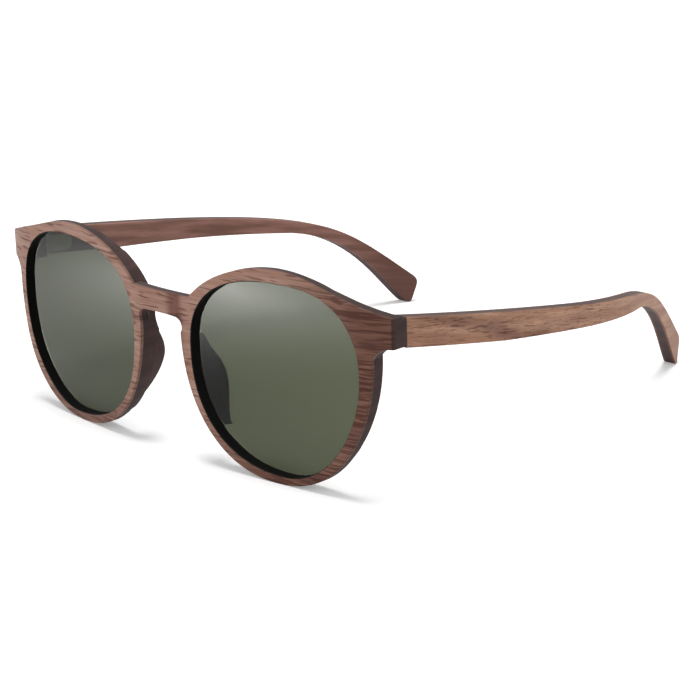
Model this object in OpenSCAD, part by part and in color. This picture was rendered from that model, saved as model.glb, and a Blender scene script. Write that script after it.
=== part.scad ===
// Wooden sunglasses: a laminated walnut front with two tinted lenses, and two
// folding temples on five-knuckle hinges.
// +X points to the wearer's left, -Y to the front, +Z up. The part stands on
// its rims and temple tips at z = 0, midway between its front and its back.

/* [Lenses] */
// Width of each lens opening
lens_w = 50.9; // [48:0.1:54]
// Height of each lens opening
lens_h = 47.2; // [44:0.2:49]
// Distance between the two openings, over the nose
lens_gap = 21.6; // [19:0.2:24]
// From the opening's nose edge to where it is tallest
lens_crown_x = 28.3; // [25:0.1:31]
// From the opening's lowest point to where it is widest
lens_waist_z = 27.6; // [24:0.2:30]
// Squareness of the opening's upper corner by the temple (2 is an ellipse)
lens_upper_square = 2.52; // [2:0.02:3]
// Squareness of the opening's upper corner by the nose
lens_brow_square = 2.46; // [2:0.02:2.8]
// Squareness of the opening's lower corner by the nose
lens_nose_square = 2.28; // [1.8:0.02:2.6]
// Squareness of the opening's lower corner by the temple
lens_cheek_square = 1.9; // [1.7:0.02:2.6]
// Thickness of a lens
lens_t = 1; // [0.8:0.1:1.2]
// Radius of the lens's outer surface
lens_r = 300; // [260:10:400]
// How far the lens's edge reaches into the rim
lens_tuck = 0.6; // [0.4:0.1:1]

/* [Front] */
// Width of the rim beside the nose
rim_nose_w = 3.4; // [2.8:0.1:4]
// Width of the rim on the temple side
rim_cheek_w = 3.3; // [2.6:0.1:4]
// Width of the rim above the lens
rim_top_w = 3.2; // [2.6:0.1:4]
// Width of the rim below the lens
rim_bottom_w = 2.1; // [2:0.1:3.6]
// From the rim's nose edge to where it is tallest
rim_crown_x = 29.6; // [26:0.2:32]
// From the rim's lowest point to where it is widest
rim_waist_z = 35.4; // [32:0.2:37]
// Squareness of the rim's upper corner by the nose
rim_brow_square = 1.82; // [1.7:0.02:2.1]
// Squareness of the rim's lower corner by the nose
rim_nose_square = 2.24; // [1.9:0.02:2.5]
// Squareness of the rim's lower corner by the temple
rim_cheek_square = 2.18; // [1.9:0.02:2.5]
// Thickness of the walnut face
face_t = 0.9; // [0.6:0.1:1.2]
// Thickness of the dark core
core_t = 2; // [1.8:0.1:2.6]
// Thickness of the back lining
lining_t = 2; // [1.8:0.1:2.4]
// How far the lining stays inside the rim's edge
lining_inset = 1; // [0.6:0.1:1.4]
// Angle by which each flat half of the front sweeps back
wrap = 6.1; // [3:0.1:8]
// Width over which the bridge bends
bridge_bend_w = 20; // [14:1:21]
// Where each end starts to bend back, beyond the opening's crown
end_bend_out = 18.5; // [16:0.1:22]
// Radius of the bend at each end
end_bend_r = 30; // [26:1:40]

/* [Bridge] */
// Height of the bridge bar
bridge_h = 5.6; // [4.6:0.1:7]
// How far the bridge's top lies below the rims' tops
bridge_drop = 10.6; // [8:0.1:13]
// Width of the keyhole under the bridge
keyhole_w = 15.8; // [15:0.1:17]
// Radius of the keyhole's corners
keyhole_r = 2.2; // [1.6:0.1:3]
// Width of the hollow across the bridge's face
hollow_w = 12.8; // [8:0.2:13]
// Thickness of the walnut left under the hollow
hollow_left = 0.3; // [0.2:0.1:0.5]

/* [End pieces] */
// How far an end piece reaches beyond the rim
end_reach = 4.7; // [4.2:0.1:6]
// How far its upper corner lies below the rim's top
end_drop = 7.3; // [6:0.1:9]
// Height of the end piece at its end
end_h = 7.2; // [6.6:0.1:9]
// Radius of the fillet under it
end_fillet = 4; // [2:0.5:4.5]
// Depth of its end, from the face to the butt joint
end_depth = 4.6; // [4.4:0.1:6]
// Width of the hinge seat on its back
seat_w = 8.2; // [7.8:0.1:9]

/* [Nose pads] */
// How far a pad stands out behind the front
pad_reach = 4.9; // [4:0.1:6]
// Height of the pad's fullest point
pad_crown_z = 21.5; // [18:0.5:25]
// Length of the pad above that point
pad_rise = 12.5; // [9:0.5:13]
// Length of the pad below that point
pad_fall = 16.5; // [11:0.5:17]
// Angle by which the pad leans away from the nose
pad_splay = 12; // [6:1:20]
// Width of the pad where it meets the rim
pad_w = 3; // [2.4:0.1:3.2]

/* [Temples] */
// Thickness of the walnut outside
outside_t = 0.7; // [0.5:0.1:1]
// Thickness of the dark core
middle_t = 2.5; // [2.2:0.1:3.2]
// Thickness of the inside lining
inside_t = 0.7; // [0.6:0.1:1]
// Height of the temple at the hinge
temple_h = 7.3; // [6.8:0.1:8]
// How far its upper corner lies below the end piece's
temple_drop = 0.4; // [0.2:0.1:1]
// Height of the temple where it starts to taper
temple_mid_h = 7.1; // [6:0.1:8]
// Length of the untapered part
temple_level = 30; // [20:1:45]
// Length of the straight upper edge
temple_straight = 75.5; // [68:0.5:82]
// Slope of the straight part
pitch = 8.8; // [6:0.1:11]
// Reach of the drop behind the straight part
drop_reach = 52.3; // [46:0.1:60]
// Slope of the drop's upper edge at the tip
drop_slope = 40.5; // [34:0.5:50]
// Slope of the drop's lower edge at the tip
under_slope = 46; // [36:1:54]
// From the start of the drop back to where its lower edge leaves the taper
ear_reach = 16.4; // [12:0.2:20]
// Height of the temple there
ear_h = 4.2; // [3.6:0.1:6]
// Width of the tip's end
tip_w = 8.3; // [7:0.1:9]
// Angle by which the tip's end leans back
tip_lean = 20; // [12:1:30]
// Radius of the tip's corners
tip_r = 2.2; // [1:0.1:3]
// Angle at which the temple leaves the front
splay = 10.3; // [7:0.1:12]
// Radius of the bow over the straight part
bow_r = 303; // [260:1:400]
// Radius of the bend towards the ear
ear_r = 90; // [60:1:120]
// Angle by which the tip turns in
tip_turn = 21.8; // [14:0.2:26]
// Gap at the butt joint
butt_gap = 0.1; // [0.05:0.05:0.3]

/* [Hinges] */
// Radius of a knuckle
knuckle_r = 1.25; // [1.1:0.05:1.4]
// Height of a knuckle
knuckle_h = 0.85; // [0.75:0.05:0.95]
// Radius of the pin screw
pin_r = 0.6; // [0.5:0.05:0.7]
// Distance of the pin from the temple and from the end piece
pin_out = 1.6; // [1.55:0.05:2]
// Thickness of the leaf on the end piece
seat_leaf_t = 0.6; // [0.5:0.1:0.8]
// Length of the leaf on the temple
arm_leaf_l = 12; // [10:0.5:15]
// Width of the leaf on the temple
arm_leaf_w = 4.4; // [4.2:0.1:4.8]
// Radius of a leaf screw's shank
screw_r = 0.45; // [0.35:0.05:0.5]
// Radius of a leaf screw's head
screw_head_r = 0.75; // [0.65:0.05:0.85]
// Radius of the pin screw's head
pin_head_r = 1.1; // [0.9:0.05:1.2]
// Height of a screw's head
head_h = 0.4; // [0.3:0.05:0.5]
// Width of the slot in a screw's head
slot_w = 0.3; // [0.2:0.05:0.4]
// Length of a screw in the end piece
seat_screw_l = 3; // [2:0.2:3.4]

/* [Hidden] */
$fn = 48;
// Running clearance round the pin
pin_fit = 0.05;
// Clearance between neighbouring knuckles
knuckle_gap = 0.07;
// Clearance round a piece set into wood
set_fit = 0.05;
// Clearance round a lens
lens_fit = 0.05;
// How far inside the opening's top and bottom a lens's skin passes the core's back
lens_in = 1;
// How far the fillet under an end piece starts inside the rim's edge
fillet_bite = 0.1;
// Where an end piece's upper edge leaves the rim, as a share of the rim's reach
end_leave = 0.998;
// How far the ends of a nose pad run into the lining
pad_sink = 0.15;
// How far a cutting shape runs past what it cuts
over = 1;
// How far the bends' curves run past the wood, in degrees
end_run = 20;
bow_run = 3;
// Points on each quarter of an oval, and on each curve
quarter_steps = 30;
curve_steps = 16;
bend_steps = 10;
knuckles = 5;

sheet_t = face_t + core_t + lining_t;

// Places across the front
lens_nose_x = lens_gap / 2;
lens_crown = lens_nose_x + lens_crown_x;
rim_nose_x = lens_nose_x - rim_nose_w;
rim_crown = rim_nose_x + rim_crown_x;
rim_cheek_x = lens_nose_x + lens_w + rim_cheek_w;
end_x = rim_cheek_x + end_reach;
end_bend_x = lens_crown + end_bend_out;
seat_x = end_x - seat_w;

// Heights
lens_waist = rim_bottom_w + lens_waist_z;
rim_top = rim_bottom_w + lens_h + rim_top_w;
end_top = rim_top - end_drop;
end_bottom = end_top - end_h;
bridge_top = rim_top - bridge_drop;
keyhole_top = bridge_top - bridge_h;
temple_top = end_top - temple_drop;

// Plan curve of the face: the bridge's arc, a flat half, the end's arc
bridge_r = bridge_bend_w / 2 / sin(wrap);
flat_y = bridge_r * (1 - cos(wrap));
end_y = flat_y + (end_bend_x - bridge_bend_w / 2) * tan(wrap);
end_centre = [end_bend_x - end_bend_r * sin(wrap), end_y + end_bend_r * cos(wrap)];
end_turn = asin((end_x - end_centre.x) / end_bend_r) + end_run;
function half_plan(depth) = concat(
  [for (i = [0:bend_steps])
    [0, bridge_r] + (bridge_r - depth) * [sin(wrap * i / bend_steps), -cos(wrap * i / bend_steps)]],
  [for (i = [0:bend_steps])
    let (a = wrap + (end_turn - wrap) * i / bend_steps)
    end_centre + (end_bend_r - depth) * [sin(a), -cos(a)]]);
function flip(points) = [for (i = [len(points) - 1:-1:0]) [-points[i].x, points[i].y]];
function reverse(points) = [for (i = [len(points) - 1:-1:0]) points[i]];
function plan(depth) =
  let (half = half_plan(depth))
  concat(flip([for (i = [1:len(half) - 1]) half[i]]), half);
// Depth of the face at a distance x from the middle, on the end's arc
function end_face_y(x) = end_centre.y - sqrt(pow(end_bend_r, 2) - pow(x - end_centre.x, 2));
butt_y = end_face_y(end_x) + end_depth;

// The hollow's edges are what lies furthest forward
front_y = bridge_r - sqrt(pow(bridge_r, 2) - pow(hollow_w / 2, 2));
hollow_y = face_t - hollow_left;
hollow_d = hollow_y - front_y;
hollow_r = (pow(hollow_w / 2, 2) + pow(hollow_d, 2)) / 2 / hollow_d;

// An oval of four superellipse quarters, starting at its temple side
function quarter_power(angle, powers) = 2 / powers[floor(angle / 90) % 4];
function signed_power(value, power) = sign(value) * pow(abs(value), power);
function oval(centre, reach_x, reach_z, powers) = [
  for (i = [0:4 * quarter_steps - 1])
    let (a = 90 * i / quarter_steps, p = quarter_power(a, powers), c = cos(a), s = sin(a))
    centre + [
      reach_x[c > 0 ? 0 : 1] * signed_power(c, p),
      reach_z[s > 0 ? 0 : 1] * signed_power(s, p)]];

function curve(p, steps = curve_steps) = [
  for (i = [0:steps])
    let (t = i / steps, u = 1 - t)
    u * u * u * p[0] + 3 * u * u * t * p[1] + 3 * u * t * t * p[2] + t * t * t * p[3]];
function heading(angle) = [cos(angle), -sin(angle)];

// Lengths over which the drop's upper and lower edges bend, at the ear and at the tip
upper_bend = [30, 27];
lower_bend = [20, 9.5];
ear_slope = 9.4;
// How far a tip corner's curve reaches towards its point
corner_pull = 0.68;
corner_steps = 6;

// Side outline of a temple in (y, z): its upper edge, the drop, the tip's end and the lower edge
temple_y = butt_y + butt_gap;
drop_start = [temple_y, temple_top] + temple_straight * heading(pitch);
corner_dip = tip_r * (cos(tip_lean) + sin(under_slope)) * (4 - 3 * corner_pull) / 8;
tip_foot = [drop_start.x + drop_reach, -corner_dip];
tip_down = heading(90 + tip_lean);
tip_head = tip_foot - tip_w * tip_down;
upper_end = tip_head - tip_r * heading(drop_slope);
lower_end = tip_foot - tip_r * heading(under_slope);
ear_corner = drop_start + [ear_reach, -ear_reach * tan(pitch) - ear_h];
level_end = [temple_y + temple_level, temple_top - temple_level * tan(pitch) - temple_mid_h];
function corner(from, point, to) = curve(
  [from, from + corner_pull * (point - from), to + corner_pull * (point - to), to], corner_steps);
tip_edge = concat(
  corner(upper_end, tip_head, tip_head + tip_r * tip_down),
  corner(tip_foot - tip_r * tip_down, tip_foot, lower_end));
temple_side = concat(
  [[temple_y, temple_top - temple_h], [temple_y, temple_top]],
  curve([drop_start, drop_start + upper_bend[0] * heading(pitch),
    upper_end - upper_bend[1] * heading(drop_slope), upper_end]),
  [for (p = tip_edge) [p.x, max(0, p.y)]],
  curve([lower_end, lower_end - lower_bend[1] * heading(under_slope),
    ear_corner + lower_bend[0] * heading(ear_slope), ear_corner]),
  [level_end]);
rear_y = max([for (p = temple_side) p.x]);
middle_y = (front_y + rear_y) / 2;

// Plan curve of a temple's outer face: a bow, a tighter bend and a straight tip
bow_centre = [end_x - bow_r * cos(splay), temple_y + bow_r * sin(splay)];
ear_centre = [bow_centre.x + bow_r - ear_r, bow_centre.y];
function temple_plan(depth) = concat(
  [bow_centre + (bow_r - depth) * [cos(splay + bow_run), -sin(splay + bow_run)]],
  [for (i = [0:bend_steps]) let (a = splay * (1 - i / bend_steps))
    bow_centre + (bow_r - depth) * [cos(a), -sin(a)]],
  [for (i = [1:bend_steps]) let (a = tip_turn * i / bend_steps)
    ear_centre + (ear_r - depth) * [cos(a), sin(a)]],
  [ear_centre + (ear_r - depth) * [cos(tip_turn), sin(tip_turn)]
    + rear_y * [-sin(tip_turn), cos(tip_turn)]]);
temple_t = outside_t + middle_t + inside_t;

// Wood left under the hinge, beside its leaf and under a screw's point
hinge_edge = 0.1;
leaf_edge = 0.3;
point_edge = 0.6;
// Places on the temple's leaf behind the butt joint: its front end, its web and its screws
leaf_set = 1.1;
web_set = [2, 4.7];
screw_set = [7.1, 11.1];

// Hinge places
inner_x = end_x - temple_t / cos(splay);
pin_x = inner_x - pin_out;
pin_y = butt_y + pin_out;
knuckle_step = knuckle_h + knuckle_gap;
barrel_h = knuckles * knuckle_step - knuckle_gap;
barrel_z = end_bottom + hinge_edge;
hinge_z = barrel_z + barrel_h / 2;
seat_leaf_x = [seat_x + leaf_edge, pin_x + knuckle_r];
seat_screw_x = seat_leaf_x[0] + screw_head_r + screw_r / 2;
seat_screw_z = [for (k = [1:2:knuckles - 1]) barrel_z + k * knuckle_step + knuckle_h / 2];
arm_leaf_y = temple_y + leaf_set;
arm_screw_l = inside_t + middle_t - point_edge;
function arm_leaf_z(y) = hinge_z - (y - temple_y) * tan(pitch);
function inner_face_x(y) = bow_centre.x + sqrt(pow(bow_r - temple_t, 2) - pow(y - bow_centre.y, 2));

walnut = "#A3735F";
dark_wood = "#4A4240";
brown_wood = "#6B4A42";
lens_green = "#6A705F";
steel = "#B9BABD";

// Stands the part on the floor, midway between its front and back
module placed(right = false) {
  translate([0, -middle_y, 0]) mirror([right ? 1 : 0, 0, 0]) children();
}

// A shape drawn as seen from the front, run through from front to back
module seen_from_front() {
  translate([0, rear_y / 2, 0]) rotate([90, 0, 0]) linear_extrude(rear_y / 2 + over) children();
}

// A shape drawn as seen from above, at full height
module seen_from_above() {
  translate([0, 0, -over]) linear_extrude(rim_top + 2 * over) children();
}

// The part of the front between two depths behind the face
module layer(near, far) {
  intersection() {
    seen_from_front() difference() {
      front_outline();
      for (side = [0, 1]) mirror([side, 0]) lens_outline();
    }
    seen_from_above() polygon(concat(plan(near), reverse(plan(far))));
  }
}

module lens_outline(grow = 0) {
  polygon(oval([lens_crown, lens_waist],
    [lens_w - lens_crown_x + grow, lens_crown_x + grow],
    [lens_h - lens_waist_z + grow, lens_waist_z + grow],
    [lens_upper_square, lens_brow_square, lens_nose_square, lens_cheek_square]));
}

module rim_outline(inset = 0) {
  polygon(oval([rim_crown, rim_waist_z],
    [rim_cheek_x - rim_crown - inset, rim_crown_x],
    [rim_top - rim_waist_z - inset, rim_waist_z - inset],
    [2, rim_brow_square, rim_nose_square, rim_cheek_square]));
}

// The end piece runs off the rim's top along a tangent, and has a fillet under it
module end_outline() {
  reach = [rim_cheek_x - rim_crown, rim_top - rim_waist_z];
  corner = [(end_x - rim_crown) / reach.x, (end_top - rim_waist_z) / reach.y];
  touch = atan2(corner.y, corner.x) + acos(1 / norm(corner));
  leave = end_leave * [reach.x * cos(touch), reach.y * sin(touch)];
  fillet_x = rim_cheek_x + end_fillet - fillet_bite;
  difference() {
    polygon([
      [rim_crown, rim_waist_z] + leave,
      [rim_crown, rim_waist_z],
      [rim_cheek_x - rim_cheek_w / 2, end_bottom - end_fillet],
      [fillet_x, end_bottom - end_fillet],
      [fillet_x, end_bottom],
      [end_x, end_bottom],
      [end_x, end_top]]);
    translate([fillet_x, end_bottom - end_fillet]) circle(end_fillet);
  }
}

module front_outline() {
  difference() {
    union() {
      for (side = [0, 1]) mirror([side, 0]) {
        rim_outline();
        end_outline();
      }
      translate([-lens_nose_x, keyhole_top - keyhole_r]) square([lens_gap, bridge_h + keyhole_r]);
    }
    for (side = [-1, 1]) translate([side * (keyhole_w / 2 - keyhole_r), keyhole_top - keyhole_r])
      circle(keyhole_r);
    translate([keyhole_r - keyhole_w / 2, keyhole_top - 2 * keyhole_r])
      square([keyhole_w - 2 * keyhole_r, 2 * keyhole_r]);
  }
}

// Ball whose skin is the lens's outer surface, which lies behind the core all round the opening
module lens_ball(grow) {
  middle = [lens_nose_x + lens_w / 2, rim_bottom_w + lens_h / 2];
  face_y = flat_y + (middle.x - bridge_bend_w / 2) * tan(wrap);
  sag = lens_r - sqrt(pow(lens_r, 2) - pow(lens_h / 2 - lens_in, 2));
  back = face_t + core_t + lens_fit - sag + lens_r;
  translate([middle.x - back * sin(wrap), face_y + back * cos(wrap), middle.y])
    sphere(lens_r + grow, $fn = 240);
}

module lens() {
  color(lens_green, 0.6) difference() {
    intersection() {
      seen_from_front() lens_outline(lens_tuck);
      lens_ball(0);
    }
    lens_ball(-lens_t);
  }
}

// Seat behind the end piece, where the temple butts and the hinge is screwed on
module hinge_seat() {
  intersection() {
    seen_from_front() intersection() {
      front_outline();
      translate([seat_x, end_bottom]) square([seat_w, temple_top - end_bottom]);
    }
    seen_from_above() polygon(concat(
      [for (p = half_plan(face_t)) if (p.x > lens_crown) p],
      [[end_x + end_reach, butt_y], [lens_crown, butt_y]]));
  }
}

// Runs its children from each seat screw's head into the wood
module seat_screw_places() {
  for (z = seat_screw_z) translate([seat_screw_x, butt_y, z]) rotate([90, 0, 0]) children();
}

// What the hinge takes out of the seat: the leaf's recess and the screws' holes
module seat_cuts() {
  translate([seat_leaf_x[0] - set_fit, butt_y - seat_leaf_t, barrel_z - set_fit])
    cube([seat_leaf_x[1] - seat_leaf_x[0] + 2 * set_fit, seat_leaf_t + over, barrel_h + 2 * set_fit]);
  seat_screw_places() cylinder(h = seat_screw_l + set_fit, r = screw_r + set_fit);
}

// The face has a shallow hollow across the bridge
module front_face() {
  color(walnut) difference() {
    layer(0, face_t);
    translate([0, hollow_y - hollow_r, 0]) cylinder(h = rim_top, r = hollow_r, $fn = 360);
  }
}

module front_core() {
  color(dark_wood) difference() {
    union() {
      layer(face_t, face_t + core_t);
      for (side = [0, 1]) mirror([side, 0, 0]) hinge_seat();
    }
    for (side = [0, 1]) mirror([side, 0, 0]) seat_cuts();
  }
}

// Ring behind a rim that holds the lens against the core
module rim_lining() {
  color(brown_wood) difference() {
    intersection() {
      seen_from_front() difference() {
        rim_outline(lining_inset);
        lens_outline();
      }
      seen_from_above() polygon(concat(half_plan(face_t + core_t), reverse(half_plan(sheet_t))));
    }
    difference() {
      seen_from_front() lens_outline(lens_tuck + lens_fit);
      lens_ball(-lens_t - lens_fit);
    }
    translate([seat_x - set_fit, 0, end_bottom - set_fit]) cube([seat_w, rear_y, temple_top]);
  }
}

// A pad is the inner rim carried back along a leaning path, with a humped back
module nose_pad() {
  steps = 2 * curve_steps;
  hump = [for (i = [0:steps])
    let (t = 2 * i / steps - 1, z = pad_crown_z + t * (t > 0 ? pad_rise : pad_fall))
    [sheet_t - pad_sink + (pad_reach + pad_sink) * (1 + cos(180 * t)) / 2, z]];
  root_y = flat_y + (rim_nose_x + pad_w / 2 - bridge_bend_w / 2) * tan(wrap);
  color(brown_wood) intersection() {
    translate([rim_nose_x, root_y + sheet_t, 0]) rotate([0, 0, -pad_splay])
      translate([-rim_nose_x, -root_y - sheet_t, 0]) seen_from_front() difference() {
        rim_outline(lining_inset);
        translate([pad_w, 0]) rim_outline(lining_inset);
        translate([rim_crown, 0]) square([rim_crown, rim_top]);
      }
    translate([0, root_y, 0]) rotate([90, 0, 90]) linear_extrude(rim_crown)
      polygon(concat(hump, [[0, pad_crown_z + pad_rise], [0, pad_crown_z - pad_fall]]));
    seen_from_above() polygon(concat(plan(sheet_t), [[end_x, rear_y], [-end_x, rear_y]]));
  }
}

// A knuckle with its bore, number k from the bottom
module knuckle(k) {
  translate([pin_x, pin_y, barrel_z + k * knuckle_step]) linear_extrude(knuckle_h) children();
}

module pin_bore() {
  translate([pin_x, pin_y, barrel_z - over]) cylinder(h = barrel_h + 2 * over, r = pin_r + pin_fit);
}

module seat_leaf() {
  color(steel) difference() {
    union() {
      translate([seat_leaf_x[0], butt_y - seat_leaf_t, barrel_z])
        cube([seat_leaf_x[1] - seat_leaf_x[0], seat_leaf_t, barrel_h]);
      for (k = [0:2:knuckles - 1]) knuckle(k) {
        circle(knuckle_r);
        translate([-knuckle_r, -pin_out - seat_leaf_t / 2])
          square([2 * knuckle_r, pin_out + seat_leaf_t / 2]);
      }
    }
    pin_bore();
    seat_screw_places() screw_cut();
  }
}

// A countersunk screw pointing along +Z with its head's top at the origin
module screw(length) {
  difference() {
    union() {
      cylinder(h = head_h, r1 = screw_head_r, r2 = screw_r);
      cylinder(h = length, r = screw_r);
    }
    translate([-screw_head_r, -slot_w / 2, -over]) cube([2 * screw_head_r, slot_w, over + head_h / 2]);
  }
}

module screw_cut() {
  translate([0, 0, -over]) cylinder(h = over + set_fit, r = screw_head_r + set_fit);
  cylinder(h = head_h + set_fit, r1 = screw_head_r + set_fit, r2 = screw_r + set_fit);
  cylinder(h = seat_screw_l, r = screw_r + set_fit);
}

module seat_screws() {
  color(steel) seat_screw_places() screw(seat_screw_l);
}

module pin_screw() {
  color(steel) translate([pin_x, pin_y, barrel_z]) difference() {
    union() {
      cylinder(h = barrel_h, r = pin_r);
      translate([0, 0, barrel_h]) cylinder(h = head_h, r = pin_head_r);
    }
    translate([-knuckle_r, -slot_w / 2, barrel_h + head_h / 2]) cube([2 * knuckle_r, slot_w, head_h]);
  }
}

// The part of a temple between two depths behind its outer face
module temple_layer(near, far) {
  intersection() {
    rotate([90, 0, 90]) linear_extrude(end_x + bow_r * (1 - cos(splay)) + over) polygon(temple_side);
    translate([0, 0, -over]) linear_extrude(rim_top + 2 * over)
      polygon(concat(temple_plan(near), reverse(temple_plan(far))));
  }
}

// Outline of the temple's leaf in (y, z), which follows the temple's slope
module arm_leaf_outline(grow = 0, front = 0) {
  rear = arm_leaf_y + arm_leaf_l - arm_leaf_w / 2;
  half = arm_leaf_w / 2 + grow;
  polygon([
    [arm_leaf_y - front, arm_leaf_z(arm_leaf_y - front) - half],
    [rear, arm_leaf_z(rear) - half],
    [rear, arm_leaf_z(rear) + half],
    [arm_leaf_y - front, arm_leaf_z(arm_leaf_y - front) + half]]);
  translate([rear, arm_leaf_z(rear)]) circle(half);
}

module arm_leaf_band(grow = 0, front = 0) {
  intersection() {
    rotate([90, 0, 90]) linear_extrude(2 * end_x) arm_leaf_outline(grow, front);
    translate([0, 0, -over]) linear_extrude(rim_top) polygon(concat(
      temple_plan(outside_t + middle_t), reverse(temple_plan(temple_t))));
  }
}

// Runs its children from each temple screw's head into the wood
module arm_screw_places() {
  for (set = screw_set) let (y = temple_y + set)
    translate([inner_face_x(y), y, arm_leaf_z(y)]) rotate([0, 90, 0]) children();
}

module arm_leaf() {
  web_y = [temple_y + web_set[0], temple_y + web_set[1]];
  color(steel) difference() {
    union() {
      arm_leaf_band();
      for (k = [1:2:knuckles - 1]) knuckle(k) {
        circle(knuckle_r);
        translate([-pin_x, -pin_y]) polygon([
          [pin_x, pin_y - knuckle_r],
          [inner_face_x(web_y[0]) + inside_t / 2, web_y[0]],
          [inner_face_x(web_y[1]) + inside_t / 2, web_y[1]],
          [pin_x - knuckle_r * cos(45), pin_y + knuckle_r * sin(45)]]);
      }
    }
    pin_bore();
    arm_screw_places() screw_cut();
  }
}

module arm_screws() {
  color(steel) arm_screw_places() screw(arm_screw_l);
}

module temple_core() {
  color(dark_wood) difference() {
    temple_layer(outside_t, outside_t + middle_t);
    arm_screw_places() cylinder(h = arm_screw_l + set_fit, r = screw_r + set_fit);
  }
}

module temple_outside() {
  color(walnut) temple_layer(0, outside_t);
}

module temple_lining() {
  color(brown_wood) difference() {
    temple_layer(outside_t + middle_t, temple_t);
    arm_leaf_band(set_fit, arm_leaf_y - temple_y + over);
  }
}

placed() front_face();
placed() front_core();
placed() rim_lining();  // left_rim_lining
placed(true) rim_lining();  // right_rim_lining
placed() lens();  // left_lens
placed(true) lens();  // right_lens
placed() nose_pad();  // left_nose_pad
placed(true) nose_pad();  // right_nose_pad
placed() seat_leaf();  // left_seat_leaf
placed(true) seat_leaf();  // right_seat_leaf
placed() seat_screws();  // left_seat_screws
placed(true) seat_screws();  // right_seat_screws
placed() pin_screw();  // left_pin_screw
placed(true) pin_screw();  // right_pin_screw
placed() arm_leaf();  // left_arm_leaf
placed(true) arm_leaf();  // right_arm_leaf
placed() arm_screws();  // left_arm_screws
placed(true) arm_screws();  // right_arm_screws
placed() temple_core();  // left_temple_core
placed(true) temple_core();  // right_temple_core
placed() temple_outside();  // left_temple_outside
placed(true) temple_outside();  // right_temple_outside
placed() temple_lining();  // left_temple_lining
placed(true) temple_lining();  // right_temple_lining
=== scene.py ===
# %% [markdown]
# # Wooden sunglasses
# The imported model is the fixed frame: a laminated wooden front with two tinted lenses, and two
# laminated temples on barrel hinges. Its solids already have the right shape and place, so this
# script keeps them. It eases their edges as sandpaper does, and gives each one a finish made of nodes.

# %% Load the frame
from math import cos, radians, sin

import bpy
import bmesh
from mathutils import Matrix, Vector


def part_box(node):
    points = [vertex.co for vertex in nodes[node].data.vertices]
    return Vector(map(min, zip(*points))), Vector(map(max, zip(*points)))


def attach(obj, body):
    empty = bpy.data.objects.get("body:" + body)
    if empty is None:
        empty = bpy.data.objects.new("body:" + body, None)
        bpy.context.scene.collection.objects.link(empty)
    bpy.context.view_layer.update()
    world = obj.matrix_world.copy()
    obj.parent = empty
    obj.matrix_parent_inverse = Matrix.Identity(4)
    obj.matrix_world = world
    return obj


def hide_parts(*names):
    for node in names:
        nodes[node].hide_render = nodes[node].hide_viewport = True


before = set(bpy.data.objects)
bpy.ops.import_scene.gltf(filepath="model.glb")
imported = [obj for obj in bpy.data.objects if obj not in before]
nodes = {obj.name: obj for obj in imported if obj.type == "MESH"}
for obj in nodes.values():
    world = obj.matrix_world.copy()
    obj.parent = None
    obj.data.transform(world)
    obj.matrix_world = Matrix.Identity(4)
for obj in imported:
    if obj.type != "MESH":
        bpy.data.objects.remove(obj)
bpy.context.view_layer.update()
scene = bpy.context.scene
MM = 0.001

# %% [markdown]
# Two helpers serve every finish. Blender's shaders work with linear light, while a colour picker shows
# sRGB, so one function turns a hex colour into linear numbers. The other adds a node, sets it and links it.


# %% Helpers for colours and nodes
def linear(code):
    """A hex colour such as #a08060 as linear red, green, blue and alpha."""
    channels = [int(code[i:i + 2], 16) / 255 for i in (1, 3, 5)]
    return [c / 12.92 if c <= 0.04045 else ((c + 0.055) / 1.055) ** 2.4 for c in channels] + [1.0]


def add(tree, kind, inputs=None, **settings):
    """Add a shader node. inputs maps a socket to a value, or to the output that feeds it."""
    node = tree.nodes.new("ShaderNode" + kind)
    for name, value in settings.items():
        setattr(node, name, value)
    for socket, value in (inputs or {}).items():
        if isinstance(value, bpy.types.NodeSocket):
            tree.links.new(value, node.inputs[socket])
        else:
            node.inputs[socket].default_value = value
    return node


def new_material(name):
    """An empty node material: its tree and its output node."""
    material = bpy.data.materials.new(name)
    material.use_nodes = True
    material.node_tree.nodes.clear()
    return material, material.node_tree, add(material.node_tree, "OutputMaterial")


print("white is", [round(c, 3) for c in linear("#ffffff")])

# %% [markdown]
# ## Camera
# The view is from the wearer's front left, a little above the lenses, with a long lens. A camera looks
# along its own -Z axis, so its matrix is built from three directions: right, up and back. A small roll
# about the view direction levels the horizon as in the picture.

# %% Camera
AIM = Vector((45.7, -51.9, 31.1)) * MM
AZIMUTH, ELEVATION, ROLL = radians(44.96), radians(16.87), radians(-1.59)
DISTANCE = 502 * MM
SENSOR_WIDTH, FOCAL_LENGTH = 36, 109.23  # mm, the unit of Blender's cameras
NEAREST = 10 * MM

back = Vector((sin(AZIMUTH) * cos(ELEVATION), -cos(AZIMUTH) * cos(ELEVATION), sin(ELEVATION)))
level = Vector((cos(AZIMUTH), sin(AZIMUTH), 0))
upright = back.cross(level)
right = level * cos(ROLL) + upright * sin(ROLL)
up = upright * cos(ROLL) - level * sin(ROLL)

camera = bpy.data.objects.new("camera", bpy.data.cameras.new("camera"))
scene.collection.objects.link(camera)
camera.data.sensor_width = SENSOR_WIDTH
camera.data.lens = FOCAL_LENGTH
camera.data.clip_start = NEAREST
axes = Matrix((right, up, back)).transposed().to_4x4()
camera.matrix_world = Matrix.Translation(AIM + back * DISTANCE) @ axes
scene.camera = camera
print("camera stands at", [round(c, 3) for c in camera.location])

# %% [markdown]
# ## Stage
# The sunglasses stand on white paper. The world and the floor show white to the camera and in reflections,
# and give a plain level of light to everything else. The floor adds what it receives to a part that it
# shows anyway, so the object's shadow stays on it. In front, where the camera does not look, a soft bright
# spot on the floor shows in mirrors alone: the upper part of each lens catches it. A lamp there would light
# the wood as well, so the spot is a part of the floor's material.

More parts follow.
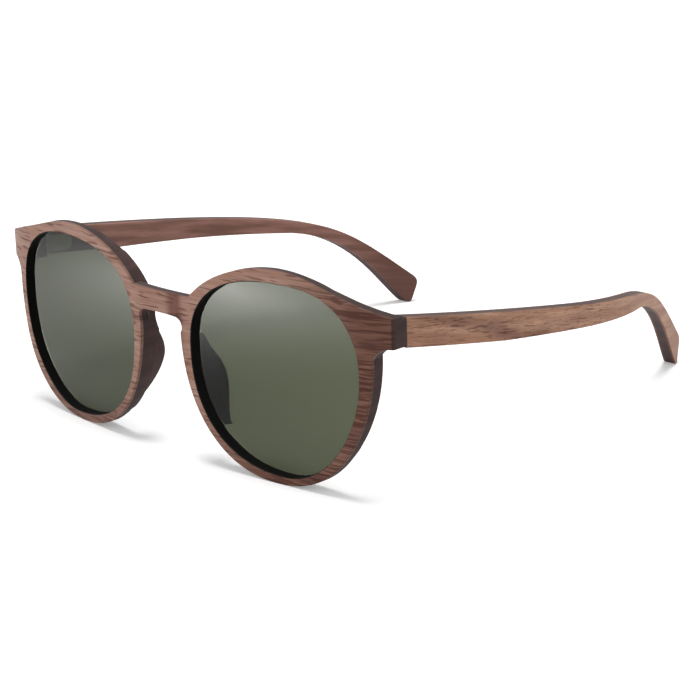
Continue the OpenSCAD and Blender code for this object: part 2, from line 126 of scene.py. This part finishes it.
# %% World and floor
WHITE = linear("#ffffff")
AMBIENT = 0.42
FLOOR_SHOWN = 0.25
FLOOR_HALF = 1.8  # metres, as are the spot's sizes
SPOT_PLACE, SPOT_REACH = (-0.141, -0.263, 0), 0.205
SPOT_SHOWN = 20

scene.view_settings.view_transform = "Standard"
world = bpy.data.worlds.new("studio")
scene.world = world
world.use_nodes = True
tree = world.node_tree
tree.nodes.clear()


def seen_rays(tree):
    """1 for rays from the camera, in a reflection or through the lens, else 0."""
    path = add(tree, "LightPath")
    shiny = add(tree, "Math", {0: path.outputs["Is Camera Ray"], 1: path.outputs["Is Glossy Ray"]},
                operation="MAXIMUM")
    return add(tree, "Math", {0: shiny.outputs[0], 1: path.outputs["Is Transmission Ray"]},
               operation="MAXIMUM").outputs[0]


strength = add(tree, "MapRange", {"Value": seen_rays(tree), "To Min": AMBIENT, "To Max": 1.0})
sky = add(tree, "Background", {"Color": WHITE, "Strength": strength.outputs[0]})
add(tree, "OutputWorld", {"Surface": sky.outputs[0]})

bm = bmesh.new()
bmesh.ops.create_grid(bm, x_segments=1, y_segments=1, size=FLOOR_HALF)
floor_mesh = bpy.data.meshes.new("floor")
bm.to_mesh(floor_mesh)
bm.free()
floor = bpy.data.objects.new("floor", floor_mesh)
scene.collection.objects.link(floor)

paper, tree, out = new_material("white paper floor")
shown = add(tree, "Math", {0: seen_rays(tree), 1: FLOOR_SHOWN}, operation="MULTIPLY")
around = add(tree, "Mapping", {"Vector": add(tree, "TexCoord").outputs["Object"], "Location": SPOT_PLACE,
                               "Scale": (SPOT_REACH, SPOT_REACH, SPOT_REACH)}, vector_type="TEXTURE")
fading = add(tree, "TexGradient", {"Vector": around.outputs[0]}, gradient_type="QUADRATIC_SPHERE")
# A ray that goes straight through clear matter counts as glossy too
path = add(tree, "LightPath")
mirrored = add(tree, "Math", {0: path.outputs["Is Glossy Ray"], 1: path.outputs["Is Transmission Ray"]},
               operation="SUBTRACT", use_clamp=True)
bright = add(tree, "Math", {0: fading.outputs["Fac"], 1: SPOT_SHOWN}, operation="MULTIPLY")
shown = add(tree, "Math", {0: bright.outputs[0], 1: mirrored.outputs[0], 2: shown.outputs[0]},
            operation="MULTIPLY_ADD")
glow = add(tree, "Emission", {"Color": WHITE, "Strength": shown.outputs[0]})
matt = add(tree, "BsdfDiffuse", {"Color": linear("#e8e8e8")})
both = add(tree, "AddShader", {0: glow.outputs[0], 1: matt.outputs[0]})
tree.links.new(both.outputs[0], out.inputs["Surface"])
floor_mesh.materials.append(paper)
print("floor", 2 * FLOOR_HALF, "m wide")

# %% [markdown]
# Thin shadows that lie close to the rims mean that most of the light comes from above. One large softbox
# hangs high, so that its light is even. Two weak fills, in front and at the side, keep the dark walls that
# face the camera readable.

# %% Lamps
FLOOR_MIDDLE, FRAME_MIDDLE = (0, 0, 0), (0, 0, 0.03)


def hang(name, place, aim, power, size):
    """A square softbox that faces a point, in metres and watts."""
    lamp = bpy.data.lights.new(name, "AREA")
    lamp.energy = power
    lamp.size = size
    holder = bpy.data.objects.new(name, lamp)
    scene.collection.objects.link(holder)
    away = Vector(place) - Vector(aim)
    holder.matrix_world = Matrix.Translation(place) @ away.to_track_quat("Z", "Y").to_matrix().to_4x4()
    holder.visible_camera = False


hang("overhead softbox", (0.0, 0.0, 4.0), FLOOR_MIDDLE, 145, 1.8)
hang("front fill", (-0.5, -1.3, 0.7), FRAME_MIDDLE, 2.8, 1.0)
hang("side fill", (1.3, -0.3, 0.7), FRAME_MIDDLE, 5, 1.0)

# %% [markdown]
# ## Woods
# The front and the temples are laminated: a thin walnut sheet that shows its grain, a dark dyed core and a
# smooth brown lining. Walnut has fine lengthwise fibres, broad streaks of lighter and darker heartwood, and
# open pores that look like short dark strokes. All of these are noise stretched along the grain. A Mapping
# node of the Texture kind turns the pattern first and then divides by the sizes that it is given.

# %% Wood grain
THROUGH = 1000  # mm, far more than a sheet's thickness
EDGE_FADE = 0.35, 0.75


def stretched(tree, place, along, sizes, turn=0.0, shift=0.0, detail=2.0):
    """Noise with a length along the grain (0 is X, 1 is Y) and a width up and down it, in mm.

    The pattern goes straight through the thickness of a sheet.
    """
    length, width = sizes
    scale = [THROUGH * MM, THROUGH * MM, width * MM]
    scale[along] = length * MM
    mapping = add(tree, "Mapping", {"Vector": place, "Location": (shift, shift, shift),
                                    "Rotation": (turn, 0, 0), "Scale": scale}, vector_type="TEXTURE")
    noise = add(tree, "TexNoise", {"Vector": mapping.outputs[0], "Scale": 1.0, "Detail": detail})
    return noise.outputs["Fac"]


def band(tree, value, low, high, to_low=0.0, to_high=1.0):
    """Map a value from one range to another, softly at both ends."""
    return add(tree, "MapRange", {"Value": value, "From Min": low, "From Max": high, "To Min": to_low,
                                  "To Max": to_high}, interpolation_type="SMOOTHSTEP").outputs[0]


def calc(tree, operation, a, b=0.0):
    """One operation on two numbers or outputs."""
    return add(tree, "Math", {0: a, 1: b}, operation=operation).outputs[0]


def tint(tree, factor, a, b):
    """Mix two colours, each an output or linear numbers."""
    return add(tree, "Mix", {"Factor": factor, 6: a, 7: b}, data_type="RGBA").outputs[2]


def side_walls(tree, axis):
    """1 on the walls of a sheet whose flat sides face along an axis (X or Y), else 0."""
    facing = add(tree, "SeparateXYZ", {0: add(tree, "TexCoord").outputs["Normal"]}).outputs[axis]
    return band(tree, calc(tree, "ABSOLUTE", facing), *EDGE_FADE, 1.0, 0.0)


print("grain helpers ready")

# %% [markdown]
# The wall inside each lens opening is painted black, so that it does not mirror in the lens. This black is
# painted shade for the recess round the lens, darker than the dark wood itself. A wall of the opening faces
# the middle of its lens, and a wall outside faces away from it. The shader tells them apart by the sign of
# a dot product. Absolute values fold both lenses onto one side.

# %% Painted shade: black walls of the lens openings
LENS_MIDDLE = (36.25 * MM, 0.0, 25.7 * MM)
LENS_REACH = (25.45 * MM, 1.0, 23.6 * MM)
NEAR_LENS, NEAR_FADE = 1.16, 0.02  # shares of that reach
INWARD = -12 * MM, -4 * MM


def opening_walls(tree):
    """1 on the walls that surround a lens, else 0."""
    coords = add(tree, "TexCoord")
    folded = add(tree, "VectorMath", {0: coords.outputs["Object"]}, operation="ABSOLUTE").outputs[0]
    away = add(tree, "VectorMath", {0: folded, 1: LENS_MIDDLE}, operation="SUBTRACT").outputs[0]
    side = calc(tree, "SIGN", add(tree, "SeparateXYZ", {0: coords.outputs["Object"]}).outputs["X"])
    fold = add(tree, "CombineXYZ", {"X": side, "Y": 0.0, "Z": 1.0}).outputs[0]
    facing = add(tree, "VectorMath", {0: coords.outputs["Normal"], 1: fold},
                 operation="MULTIPLY").outputs[0]
    outward = add(tree, "VectorMath", {0: away, 1: facing}, operation="DOT_PRODUCT").outputs["Value"]
    flat = add(tree, "VectorMath", {0: away, 1: (1, 0, 1)}, operation="MULTIPLY").outputs[0]
    reach = add(tree, "VectorMath", {0: flat, 1: LENS_REACH}, operation="DIVIDE").outputs[0]
    distance = add(tree, "VectorMath", {0: reach}, operation="LENGTH").outputs["Value"]
    inward = band(tree, outward, *INWARD, 1.0, 0.0)
    close = band(tree, distance, NEAR_LENS, NEAR_LENS + NEAR_FADE, 1.0, 0.0)
    return calc(tree, "MULTIPLY", inward, close)


print("lens middles at x +-", LENS_MIDDLE[0], "m")

# %% [markdown]
# The wood is oiled and has no lacquer: a satin surface that mirrors little, with pores that are deeper and
# rougher than the fibres between them. One function ends the tree of every wood in this way.

# %% Wood shader
# Painted shade: the black of the recessed walls round each lens
PAINTED_SHADE_BLACK = linear("#050404")
BUMP_STRENGTH = 0.7
WOOD_IOR, WOOD_SHINE = 1.45, 0.15
PORE_DEPTH, FIBRE_DEPTH = 0.05, 0.02  # mm
FIBRE_RELIEF = 0.3
WALNUT_ROUGHNESS = 0.5, 0.7


def wood_shader(tree, out, colour, height, depth, roughness):
    """Close a wood: its colour, a bump of a depth in mm, and its roughness. Bare wood mirrors little."""
    bump = add(tree, "Bump", {"Height": height, "Strength": BUMP_STRENGTH, "Distance": depth * MM})
    shader = add(tree, "BsdfPrincipled", {"Base Color": colour, "Roughness": roughness, "IOR": WOOD_IOR,
                                          "Specular IOR Level": WOOD_SHINE, "Normal": bump.outputs[0]})
    tree.links.new(shader.outputs[0], out.inputs["Surface"])


print("pores", PORE_DEPTH, "mm deep")

# %% [markdown]
# The face's grain runs along X. Its near end is darker, redder heartwood with long black pores, and the
# rest is pale with short ones. The face also turns to that darker colour, with long pores, towards its
# bottom, more on the near side. Bands along X and Z say where each of them lies.

# %% Walnut face
face_walnut, tree, out = new_material("oiled walnut face")
place = add(tree, "TexCoord").outputs["Object"]
xyz = add(tree, "SeparateXYZ", {0: place})
streaks = stretched(tree, place, 0, (60, 2.6), detail=3.0)
fibres = stretched(tree, place, 0, (9, 0.3), shift=0.3)
strokes = stretched(tree, place, 0, (6, 0.6), shift=0.7, detail=1.0)
long_strokes = stretched(tree, place, 0, (26, 0.62), shift=0.1, detail=1.0)
dashes = stretched(tree, place, 0, (12, 0.5), shift=0.2, detail=1.0)
reds = stretched(tree, place, 0, (22, 2.2), shift=0.9, detail=2.0)
across = band(tree, xyz.outputs["X"], 33 * MM, 64 * MM)
# Darker towards the bottom of the face, more on the near side
low = band(tree, xyz.outputs["Z"], 3 * MM, 15 * MM, 1.0, 0.0)
low = calc(tree, "MULTIPLY", low, band(tree, xyz.outputs["X"], 16 * MM, 34 * MM, 0.45, 1.0))
heart_end_and_dark_bottom = calc(tree, "MAXIMUM", across, low)
short_pores = calc(tree, "MULTIPLY", band(tree, strokes, 0.56, 0.66), 0.75)
long_pores = calc(tree, "MAXIMUM", band(tree, long_strokes, 0.55, 0.63), band(tree, dashes, 0.59, 0.66))
long_pores = calc(tree, "MULTIPLY", long_pores, heart_end_and_dark_bottom)
pores = calc(tree, "MAXIMUM", short_pores, long_pores)
sapwood = tint(tree, band(tree, streaks, 0.35, 0.65), linear("#a78576"), linear("#957060"))
heartwood = tint(tree, band(tree, reds, 0.4, 0.6), linear("#775346"), linear("#5e3f37"))
colour = tint(tree, heart_end_and_dark_bottom, sapwood, heartwood)
colour = tint(tree, band(tree, fibres, 0.3, 0.7, 0.0, 0.45), colour, linear("#6b483c"))
# The bridge is a little darker, and a band of painted shade crosses it where its face bends
bridge = band(tree, calc(tree, "ABSOLUTE", xyz.outputs["X"]), 7 * MM, 11 * MM, 0.2, 0.0)
colour = tint(tree, bridge, colour, linear("#6d4637"))
# Painted shade: a dark band on one side of the bridge, where its face bends
figure_and_bend_shade = calc(tree, "MULTIPLY", band(tree, xyz.outputs["X"], 1 * MM, 5 * MM, 0.0, 0.85),
              band(tree, xyz.outputs["X"], 6.5 * MM, 9 * MM, 1.0, 0.0))
colour = tint(tree, figure_and_bend_shade, colour, linear("#512515"))
colour = tint(tree, calc(tree, "MULTIPLY", pores, 0.75), colour, linear("#3a1f18"))
colour = tint(tree, calc(tree, "MULTIPLY", side_walls(tree, "Y"), 0.6), colour, linear("#4a332b"))
# The near end piece is darker
end_piece = calc(tree, "MULTIPLY", band(tree, xyz.outputs["X"], 55 * MM, 62 * MM, 0.0, 0.3),
                 band(tree, xyz.outputs["Z"], 33 * MM, 38 * MM))
colour = tint(tree, end_piece, colour, linear("#4a2e26"))
# The saw's burnt cut at each end
cut_end = band(tree, calc(tree, "ABSOLUTE", xyz.outputs["X"]), 69.2 * MM, 69.6 * MM, 0.0, 0.8)
colour = tint(tree, cut_end, colour, linear("#281c1c"))
# Painted shade: the walls round each lens turn black
colour = tint(tree, opening_walls(tree), colour, PAINTED_SHADE_BLACK)
height = calc(tree, "SUBTRACT", calc(tree, "MULTIPLY", fibres, FIBRE_RELIEF), pores)
wood_shader(tree, out, colour, height, PORE_DEPTH, band(tree, pores, 0, 1, *WALNUT_ROUGHNESS))
print("face:", face_walnut.name)

# %% [markdown]
# The temples' grain follows their slope. Clouds and fine pores fade towards the ear, so both are multiplied
# by a band along Y.

# %% Walnut temple
PITCH = radians(-8.8)
SLANT = 2.4
temple_walnut, tree, out = new_material("oiled walnut temple")
place = add(tree, "TexCoord").outputs["Object"]
xyz = add(tree, "SeparateXYZ", {0: place})
streaks = stretched(tree, place, 1, (50, 2.4), PITCH, detail=3.0)
fibres = stretched(tree, place, 1, (8, 0.35), PITCH, shift=0.3)
strokes = stretched(tree, place, 1, (5, 0.32), PITCH, shift=0.7, detail=1.0)
dashes = stretched(tree, place, 1, (2.4, 0.24), PITCH, shift=0.2, detail=1.0)
clouds = stretched(tree, place, 1, (14, 4), PITCH, shift=0.5, detail=3.0)
reds = stretched(tree, place, 1, (12, 3), PITCH, shift=0.9, detail=2.0)
fresh = band(tree, xyz.outputs["Y"], -10 * MM, 45 * MM, 1.0, 0.15)
pores = calc(tree, "MAXIMUM", band(tree, strokes, 0.58, 0.67), band(tree, dashes, 0.6, 0.68))
pores = calc(tree, "MULTIPLY", pores, fresh)
pores = calc(tree, "MULTIPLY", pores, band(tree, clouds, 0.3, 0.55, 0.45, 1.0))
colour = tint(tree, band(tree, streaks, 0.35, 0.65), linear("#b08a73"), linear("#976f59"))
colour = tint(tree, band(tree, reds, 0.45, 0.65, 0.0, 0.5), colour, linear("#8f6a60"))
hinge_end = band(tree, xyz.outputs["Y"], -52 * MM, -36 * MM, 0.35, 0.0)
colour = tint(tree, hinge_end, colour, linear("#7c5749"))
colour = tint(tree, calc(tree, "MULTIPLY", band(tree, clouds, 0.5, 0.7, 0.0, 0.4), fresh), colour,
              linear("#6a4638"))
# A dark figure slants across the temple behind its hinge
slant = add(tree, "Math", {0: xyz.outputs["Z"], 1: SLANT, 2: xyz.outputs["Y"]},
            operation="MULTIPLY_ADD").outputs[0]
figure_and_bend_shade = calc(tree, "MULTIPLY", band(tree, slant, 49 * MM, 56 * MM),
              band(tree, slant, 59 * MM, 67 * MM, 1.0, 0.0))
figure_and_bend_shade = calc(tree, "MULTIPLY", figure_and_bend_shade, band(tree, clouds, 0.35, 0.6, 0.3, 0.65))
colour = tint(tree, figure_and_bend_shade, colour, linear("#5c4038"))
colour = tint(tree, band(tree, fibres, 0.3, 0.7, 0.0, 0.35), colour, linear("#79553f"))
colour = tint(tree, calc(tree, "MULTIPLY", pores, 0.65), colour, linear("#452820"))
colour = tint(tree, band(tree, xyz.outputs["Y"], 54 * MM, 68 * MM, 0.0, 0.45), colour, linear("#84604f"))
colour = tint(tree, calc(tree, "MULTIPLY", side_walls(tree, "X"), 0.75), colour, linear("#4a332b"))
height = calc(tree, "SUBTRACT", calc(tree, "MULTIPLY", fibres, FIBRE_RELIEF), pores)
wood_shader(tree, out, colour, height, PORE_DEPTH, band(tree, pores, 0, 1, *WALNUT_ROUGHNESS))
print("temple:", temple_walnut.name)

# %% [markdown]
# The core is dyed nearly black, and the linings and pads are a plain brown wood. None of them shows pores,
# so soft streaks and faint fibres between two close colours are enough.


# %% Dyed core and smooth lining
def plain_wood(name, along, light, dark, roughness, turn=0.0, tip=None):
    """A fine, even wood: soft streaks and faint fibres between two colours, and a darker rear tip. On the
    front's woods, painted shade turns the walls round each lens black.
    """
    material, tree, out = new_material(name)
    place = add(tree, "TexCoord").outputs["Object"]
    streaks = stretched(tree, place, along, (26, 2.4), turn, detail=3.0)
    fibres = stretched(tree, place, along, (6, 0.4), turn, shift=0.3)
    colour = tint(tree, band(tree, streaks, 0.35, 0.65), linear(light), linear(dark))
    colour = tint(tree, band(tree, fibres, 0.4, 0.75, 0.0, 0.4), colour, linear(dark))
    if along == 0:  # the front's woods
        # Painted shade: the walls round each lens turn black
        colour = tint(tree, opening_walls(tree), colour, PAINTED_SHADE_BLACK)
    if tip:
        rear = add(tree, "SeparateXYZ", {0: place}).outputs["Y"]
        colour = tint(tree, band(tree, rear, 48 * MM, 66 * MM, 0.0, 0.85), colour, linear(tip))
    wood_shader(tree, out, colour, fibres, FIBRE_DEPTH, roughness)
    return material


core_wood = plain_wood("dyed dark wood core", 0, "#3c2d2b", "#302423", 0.6)
arm_core_wood = plain_wood("dyed dark wood temple core", 1, "#4a3936", "#3b2d2b", 0.6, PITCH)
ring_wood = plain_wood("brown wood rim lining", 0, "#42302d", "#352523", 0.6)
lining_wood = plain_wood("brown wood temple lining", 1, "#8a645a", "#684a40", 0.55, PITCH, "#573b34")
pad_wood = plain_wood("brown wood nose pad", 1, "#3f2927", "#321f1d", 0.6)
print("woods:", core_wood.name, lining_wood.name, pad_wood.name)

# %% [markdown]
# ## Lens and steel
# The lens is a grey-green polycarbonate shell, hard and glossy, tinted through its thickness and coated
# against reflections. A volume that absorbs light gives such a tint: the slanted view through the far lens
# is longer, so that lens is as dark as the near one although it mirrors more. Bare polycarbonate has an IOR
# of 1.58. The coated lens mirrors about a fifth as much, and an IOR of 1.22 stands for that. The hinges and
# screws are small turned steel pieces with fine tool marks.

# %% Tinted lens
LENS_IOR = 1.22
TINT_DENSITY = 2.93 / MM

lens_tint, tree, out = new_material("grey-green tinted polycarbonate")
shader = add(tree, "BsdfPrincipled", {"Base Color": WHITE, "Roughness": 0.0, "IOR": LENS_IOR,
                                      "Transmission Weight": 1.0})
inside = add(tree, "VolumeAbsorption", {"Color": linear("#88906a"), "Density": TINT_DENSITY})
tree.links.new(shader.outputs[0], out.inputs["Surface"])
tree.links.new(inside.outputs[0], out.inputs["Volume"])
print("lens:", lens_tint.name)

# %% Turned steel
MARK_WIDTH = 0.15 * MM

steel, tree, out = new_material("turned steel")
place = add(tree, "TexCoord").outputs["Object"]
marks = add(tree, "TexNoise", {"Vector": place, "Scale": 1 / MARK_WIDTH, "Detail": 2.0}).outputs["Fac"]
shader = add(tree, "BsdfPrincipled", {
    "Base Color": linear("#b9b6b0"), "Metallic": 1.0, "Roughness": band(tree, marks, 0.3, 0.7, 0.22, 0.4)})
tree.links.new(shader.outputs[0], out.inputs["Surface"])
print("finishes:", [m.name for m in bpy.data.materials])

# %% [markdown]
# ## Eased wooden pieces
# A sharp edge catches no light, and no one sells wood with a sharp edge: the maker sands the edges that can
# be touched, and leaves the glued ones square. A copy of each wooden node with such edges is merged, its
# flats are dissolved into whole faces, and bmesh bevels the edges along the sides that lie open. Each piece
# says which edges those are, by the edge's middle and by the way its two faces point. The temples' cores
# lie between glued sheets, so those nodes stay.

# %% Ease the open edges
SHARP = radians(32)
MERGE = 0.04 * MM
FLAT = radians(0.5)
EASE_STEPS = 3


def eased(name, body, material, width, is_open):
    """A copy of a node with edges rounded by a width in mm.

    is_open says which edges, from an edge's middle in mm and the normals of its two faces.
    """
    bm = bmesh.new()
    bm.from_mesh(nodes[name].data)
    bmesh.ops.remove_doubles(bm, verts=bm.verts, dist=MERGE)
    bmesh.ops.dissolve_limit(bm, angle_limit=FLAT, verts=bm.verts, edges=bm.edges)
    edges = [e for e in bm.edges if len(e.link_faces) == 2 and e.calc_face_angle() > SHARP
             and is_open((e.verts[0].co + e.verts[1].co) / 2 / MM, [f.normal for f in e.link_faces])]
    bmesh.ops.bevel(bm, geom=edges, offset=width * MM, offset_type="OFFSET", segments=EASE_STEPS,
                    profile=0.5, affect="EDGES", clamp_overlap=False, material=-1)
    mesh = bpy.data.meshes.new("eased_" + name)
    bm.to_mesh(mesh)
    bm.free()
    mesh.shade_smooth()
    mesh.set_sharp_from_angle(angle=SHARP)
    mesh.materials.append(material)
    piece = bpy.data.objects.new("eased_" + name, mesh)
    scene.collection.objects.link(piece)
    even = piece.modifiers.new("even normals", "WEIGHTED_NORMAL")
    even.keep_sharp = True
    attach(piece, body)
    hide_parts(name)
    print("eased", len(edges), "edges of", name)
    return piece


# %% Which edges are open, and by how much they are eased
FACING, WALL = 0.75, 0.5
PADS_TO, SEATS_FROM, PAD_ROOT = 20, 58, 1.5  # mm
EASE = {"face": 0.25, "core": 0.4, "ring": 0.5, "pad": 0.6, "outside": 0.3, "lining": 0.4}  # mm


def faces_front(middle, normals):
    """The face's front edges."""
    return any(n.y < -FACING for n in normals)


def faces_back(middle, normals):
    """The back's edges, away from the pads and the hinge seats."""
    return any(n.y > FACING for n in normals) and PADS_TO < abs(middle.x) < SEATS_FROM


def outer_back(middle, normals):
    """The back's outer edges alone: a wall there points away from the middle of its lens."""
    away = Vector((abs(middle.x), 0, middle.z)) - Vector(LENS_MIDDLE) / MM
    fold = 1 if middle.x > 0 else -1
    outward = any(abs(n.y) < WALL and away.dot((n.x * fold, 0, n.z)) > 0 for n in normals)
    return outward and faces_back(middle, normals)


front_pieces = [
    eased("front_face", "front", face_walnut, EASE["face"], faces_front),
    eased("front_core", "front", core_wood, EASE["core"], outer_back)]
for side, sign in (("left", 1), ("right", -1)):
    arm = side + "_temple"
    pad = side + "_nose_pad"
    pad_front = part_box(pad)[0][1] / MM
    front_pieces.append(
        eased(side + "_rim_lining", "front", ring_wood, EASE["ring"], faces_back))
    eased(pad, "front", pad_wood, EASE["pad"],
          lambda middle, normals: middle.y > pad_front + PAD_ROOT)
    eased(arm + "_outside", arm, temple_walnut, EASE["outside"],
          lambda middle, normals: any(n.x * sign > FACING for n in normals))
    eased(arm + "_lining", arm, lining_wood, EASE["lining"],
          lambda middle, normals: any(n.x * sign < -FACING for n in normals))

# The walls round a lens are matt, and leave no mirror image at its edge. On the real pair no lining shows
# through a lens. The modelled linings would, as a grey band, so rays that have passed a lens skip them.
for piece in front_pieces:
    piece.visible_glossy = False
    piece.visible_transmission = not piece.name.endswith("_rim_lining")

# %% Finishes of the other nodes
# A replaced node doesn't show, so it takes the steel too
for name, obj in nodes.items():
    piece = name.replace("left_", "").replace("right_", "")
    finish = {"lens": lens_tint, "temple_core": arm_core_wood}.get(piece, steel)
    obj.data.materials.clear()
    obj.data.materials.append(finish)
print("dressed", len(nodes), "nodes")
